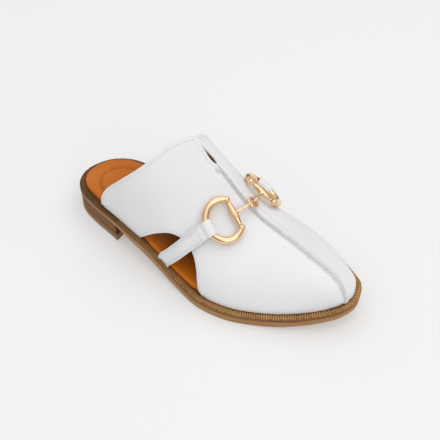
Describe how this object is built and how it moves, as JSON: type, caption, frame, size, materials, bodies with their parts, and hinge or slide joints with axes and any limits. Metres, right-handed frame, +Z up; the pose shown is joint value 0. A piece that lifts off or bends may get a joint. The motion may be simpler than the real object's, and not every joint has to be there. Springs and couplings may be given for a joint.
{
  "type": "mule shoe",
  "caption": "Backless leather mule with a closed toe, arched side openings, a seam down the instep, a snaffle bit held by two straps, and a low stacked heel.",
  "frame": {"origin": "on the floor, under the middle of the shoe's length and width", "axes": "+X to the toe, +Y to the medial side, +Z up; the shoe stands empty on its heel and forefoot"},
  "size_m": [0.2524, 0.1016, 0.1008],
  "materials": {
    "sole": "tan leather outsole with a polished, rounded edge",
    "welt": "brown welt with a knurled top edge",
    "heel": "stacked leather heel, fine dark layers",
    "top_lift": "lighter brown top lift",
    "insole": "smooth tan lining leather",
    "upper": "smooth semi-matt white leather",
    "strap": "smooth semi-matt white leather, stitched",
    "bit": "polished pale gold plating"
  },
  "bodies": {
    "root": {"outsole": "sole", "welt": "welt", "heel_stack": "heel", "top_lift": "top_lift", "insole": "insole", "upper": "upper", "strap_lateral": "strap", "strap_medial": "strap", "bit_ring_lateral": "bit", "bit_ring_medial": "bit", "bit_link_lateral": "bit", "bit_link_medial": "bit"}
  },
  "joints": []
}
